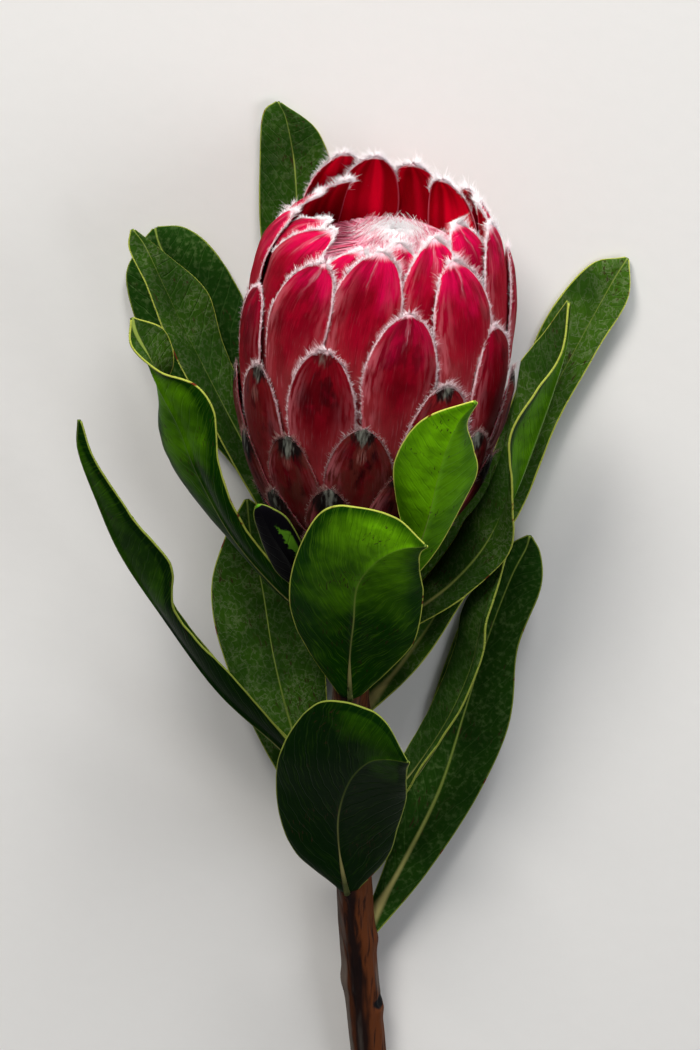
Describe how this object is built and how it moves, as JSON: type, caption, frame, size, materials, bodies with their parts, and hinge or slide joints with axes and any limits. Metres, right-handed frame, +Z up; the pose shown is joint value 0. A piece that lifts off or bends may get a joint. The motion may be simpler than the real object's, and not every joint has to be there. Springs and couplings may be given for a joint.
{
  "type": "cut protea flower",
  "caption": "Cut protea bloom lying on its side: a goblet head of overlapping hairy bracts round a silky dome of florets, on a woody stem with leathery leaves.",
  "frame": {"origin": "middle of the whole flower's footprint, on the surface it lies on", "axes": "+Y along the stem from its cut end to the bloom, +Z up from the surface, +X to the right seen from above"},
  "size_m": [0.1456, 0.2944, 0.0974],
  "materials": {
    "bark": "dull brown bark with darker streaks",
    "bract": "crimson, satin, with white hairy edges and brown feet",
    "floret": "silky pink and white hairs",
    "leaf": "leathery green, satin, with a pale midrib and a thin yellow edge"
  },
  "bodies": {
    "root": {"stem": "bark", "bracts": "bract", "florets": "floret", "leaf_front_low": "leaf", "leaf_front_middle": "leaf", "leaf_front_small": "leaf", "leaf_left_curled": "leaf", "leaf_far_left": "leaf", "leaf_left_middle": "leaf", "leaf_tiny": "leaf", "leaf_right_back": "leaf", "leaf_right_folded": "leaf", "leaf_lower_right": "leaf", "leaf_lower_right_folded": "leaf", "leaf_upper_left": "leaf", "leaf_upper_left_back": "leaf", "leaf_top_back": "leaf", "leaf_back_middle": "leaf"}
  },
  "joints": []
}
